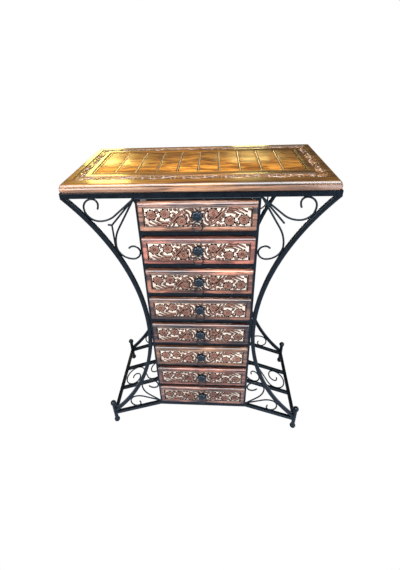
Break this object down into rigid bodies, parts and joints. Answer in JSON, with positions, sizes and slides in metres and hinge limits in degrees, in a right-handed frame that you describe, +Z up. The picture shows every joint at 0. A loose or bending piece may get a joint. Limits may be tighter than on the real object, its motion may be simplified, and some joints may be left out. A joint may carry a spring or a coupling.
{
  "type": "chest of drawers",
  "caption": "tall narrow chest of drawers with tooled leather fronts and ring pulls, in an hourglass wrought-iron stand with scrollwork, ball feet and a slatted wooden top",
  "frame": {"origin": "on the floor under the middle of the overall box", "axes": "+X to the right for someone facing the drawers, +Y to the back, +Z up"},
  "size_m": [0.688, 0.3616, 0.9516],
  "materials": {
    "top_wood": "glossy golden-brown varnish",
    "slat_wood": "glossy golden varnish",
    "drawer_wood": "satin red-brown varnish",
    "box_wood": "plain, unvarnished",
    "leather": "tooled and dyed in relief",
    "iron": "black, satin, hammered",
    "pull_iron": "dark, worn bright on the edges"
  },
  "bodies": {
    "stand": {"top_board": "top_wood", "top_slats": "slat_wood", "top_rail": "iron", "leg_front_left": "iron", "leg_front_right": "iron", "leg_rear_left": "iron", "leg_rear_right": "iron", "upper_scroll_front_left": "iron", "upper_scroll_front_right": "iron", "upper_scroll_rear_left": "iron", "upper_scroll_rear_right": "iron", "lower_scroll_front_left": "iron", "lower_scroll_front_right": "iron", "lower_scroll_rear_left": "iron", "lower_scroll_rear_right": "iron", "base_wing_left": "iron", "base_wing_right": "iron", "base_sill": "iron", "front_frame": "iron", "runner_cage": "iron"},
    "drawer_1": {"drawer_1_front": "drawer_wood", "drawer_1_leather": "leather", "drawer_1_box": "box_wood", "drawer_1_pull": "pull_iron"},
    "ring_1": {"drawer_1_ring": "pull_iron"},
    "drawer_2": {"drawer_2_front": "drawer_wood", "drawer_2_leather": "leather", "drawer_2_box": "box_wood", "drawer_2_pull": "pull_iron"},
    "ring_2": {"drawer_2_ring": "pull_iron"},
    "drawer_3": {"drawer_3_front": "drawer_wood", "drawer_3_leather": "leather", "drawer_3_box": "box_wood", "drawer_3_pull": "pull_iron"},
    "ring_3": {"drawer_3_ring": "pull_iron"},
    "drawer_4": {"drawer_4_front": "drawer_wood", "drawer_4_leather": "leather", "drawer_4_box": "box_wood", "drawer_4_pull": "pull_iron"},
    "ring_4": {"drawer_4_ring": "pull_iron"},
    "drawer_5": {"drawer_5_front": "drawer_wood", "drawer_5_leather": "leather", "drawer_5_box": "box_wood", "drawer_5_pull": "pull_iron"},
    "ring_5": {"drawer_5_ring": "pull_iron"},
    "drawer_6": {"drawer_6_front": "drawer_wood", "drawer_6_leather": "leather", "drawer_6_box": "box_wood", "drawer_6_pull": "pull_iron"},
    "ring_6": {"drawer_6_ring": "pull_iron"},
    "drawer_7": {"drawer_7_front": "drawer_wood", "drawer_7_leather": "leather", "drawer_7_box": "box_wood", "drawer_7_pull": "pull_iron"},
    "ring_7": {"drawer_7_ring": "pull_iron"},
    "drawer_8": {"drawer_8_front": "drawer_wood", "drawer_8_leather": "leather", "drawer_8_box": "box_wood", "drawer_8_pull": "pull_iron"},
    "ring_8": {"drawer_8_ring": "pull_iron"}
  },
  "joints": [
    {"name": "drawer_1_slide", "type": "slide", "parent": "stand", "child": "drawer_1", "axis": [0, -1, 0], "range_m": [0, 0.22]},
    {"name": "drawer_1_ring_swing", "type": "hinge", "parent": "drawer_1", "child": "ring_1", "pos_m": [0, -0.1698, 0.8573], "axis": [-1, 0, 0], "range_deg": [0, 85]},
    {"name": "drawer_2_slide", "type": "slide", "parent": "stand", "child": "drawer_2", "axis": [0, -1, 0], "range_m": [0, 0.22]},
    {"name": "drawer_2_ring_swing", "type": "hinge", "parent": "drawer_2", "child": "ring_2", "pos_m": [0, -0.1698, 0.7601], "axis": [-1, 0, 0], "range_deg": [0, 85]},
    {"name": "drawer_3_slide", "type": "slide", "parent": "stand", "child": "drawer_3", "axis": [0, -1, 0], "range_m": [0, 0.22]},
    {"name": "drawer_3_ring_swing", "type": "hinge", "parent": "drawer_3", "child": "ring_3", "pos_m": [0, -0.1698, 0.6629], "axis": [-1, 0, 0], "range_deg": [0, 85]},
    {"name": "drawer_4_slide", "type": "slide", "parent": "stand", "child": "drawer_4", "axis": [0, -1, 0], "range_m": [0, 0.22]},
    {"name": "drawer_4_ring_swing", "type": "hinge", "parent": "drawer_4", "child": "ring_4", "pos_m": [0, -0.1698, 0.5657], "axis": [-1, 0, 0], "range_deg": [0, 85]},
    {"name": "drawer_5_slide", "type": "slide", "parent": "stand", "child": "drawer_5", "axis": [0, -1, 0], "range_m": [0, 0.22]},
    {"name": "drawer_5_ring_swing", "type": "hinge", "parent": "drawer_5", "child": "ring_5", "pos_m": [0, -0.1698, 0.4685], "axis": [-1, 0, 0], "range_deg": [0, 85]},
    {"name": "drawer_6_slide", "type": "slide", "parent": "stand", "child": "drawer_6", "axis": [0, -1, 0], "range_m": [0, 0.22]},
    {"name": "drawer_6_ring_swing", "type": "hinge", "parent": "drawer_6", "child": "ring_6", "pos_m": [0, -0.1698, 0.3713], "axis": [-1, 0, 0], "range_deg": [0, 85]},
    {"name": "drawer_7_slide", "type": "slide", "parent": "stand", "child": "drawer_7", "axis": [0, -1, 0], "range_m": [0, 0.22]},
    {"name": "drawer_7_ring_swing", "type": "hinge", "parent": "drawer_7", "child": "ring_7", "pos_m": [0, -0.1698, 0.2741], "axis": [-1, 0, 0], "range_deg": [0, 85]},
    {"name": "drawer_8_slide", "type": "slide", "parent": "stand", "child": "drawer_8", "axis": [0, -1, 0], "range_m": [0, 0.22]},
    {"name": "drawer_8_ring_swing", "type": "hinge", "parent": "drawer_8", "child": "ring_8", "pos_m": [0, -0.1698, 0.1769], "axis": [-1, 0, 0], "range_deg": [0, 85]}
  ]
}
